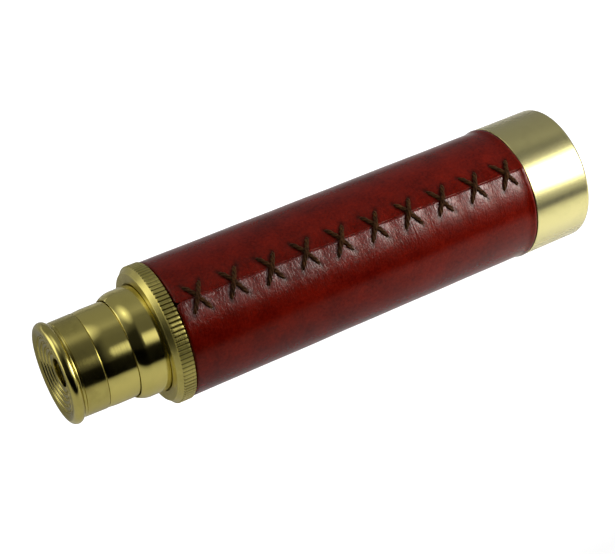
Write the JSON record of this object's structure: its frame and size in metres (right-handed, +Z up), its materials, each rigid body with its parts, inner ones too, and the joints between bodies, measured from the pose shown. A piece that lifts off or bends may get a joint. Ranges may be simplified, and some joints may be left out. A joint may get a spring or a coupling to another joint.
{
  "type": "kaleidoscope",
  "caption": "Leather-bound brass hand kaleidoscope: sliding draw tubes with a mirror prism behind the eyepiece, and a turning object cell of coloured glass chips.",
  "frame": {"origin": "middle of the bottom of the object's box, on the surface that it lies on", "axes": "+X along the sight axis toward the object cell, +Z up, -Y toward the sewn seam's side"},
  "size_m": [0.1832, 0.0452, 0.0456],
  "materials": {
    "polished_brass": "polished and lacquered",
    "satin_brass": "satin turned",
    "tube_brass": "drawn tube, bright",
    "leather": "smooth dyed cowhide, waxed",
    "waxed_thread": "waxed cord",
    "felt": "wool felt",
    "spring_steel": "plain spring wire",
    "clear_glass": "polished clear",
    "frosted_glass": "ground on one face",
    "mirror_glass": "front-silvered",
    "black_card": "matt black card",
    "cork": "pressed cork",
    "red_glass": "tumbled",
    "amber_glass": "tumbled",
    "green_glass": "tumbled",
    "blue_glass": "tumbled"
  },
  "bodies": {
    "barrel": {"barrel_tube": "tube_brass", "leather_sleeve": "leather", "seam_stitches": "waxed_thread", "knurled_ring": "satin_brass", "ring_felt": "felt", "cell_bush": "tube_brass", "snap_ring": "spring_steel"},
    "draw_1": {"draw_1_tube": "tube_brass", "draw_1_collar": "polished_brass", "draw_1_felt": "felt", "draw_1_guide": "tube_brass"},
    "draw_2": {"draw_2_tube": "tube_brass", "draw_2_collar": "polished_brass", "draw_2_felt": "felt", "draw_2_guide": "tube_brass"},
    "draw_3": {"draw_3_tube": "tube_brass", "draw_3_guide": "tube_brass", "eyepiece": "satin_brass", "eye_lens": "clear_glass", "lens_ring": "tube_brass", "mirror_top": "mirror_glass", "mirror_left": "mirror_glass", "mirror_right": "mirror_glass", "mirror_wrap": "black_card", "mirror_front_seat": "cork", "mirror_rear_seat": "cork"},
    "object_cell": {"cell_shell": "polished_brass", "cell_lock_ring": "tube_brass", "inner_glass": "clear_glass", "chamber_ring": "tube_brass", "frosted_glass": "frosted_glass", "chips_red": "red_glass", "chips_amber": "amber_glass", "chips_green": "green_glass", "chips_blue": "blue_glass"}
  },
  "joints": [
    {"name": "draw_1_slide", "type": "slide", "parent": "barrel", "child": "draw_1", "axis": [-1, 0, 0], "range_m": [0, 0.0977]},
    {"name": "draw_2_slide", "type": "slide", "parent": "draw_1", "child": "draw_2", "axis": [-1, 0, 0], "range_m": [0, 0.1033]},
    {"name": "draw_3_slide", "type": "slide", "parent": "draw_2", "child": "draw_3", "axis": [-1, 0, 0], "range_m": [0, 0.114]},
    {"name": "cell_turn", "type": "hinge", "parent": "barrel", "child": "object_cell", "pos_m": [0, 0, 0.0226], "axis": [1, 0, 0], "continuous": true}
  ]
}
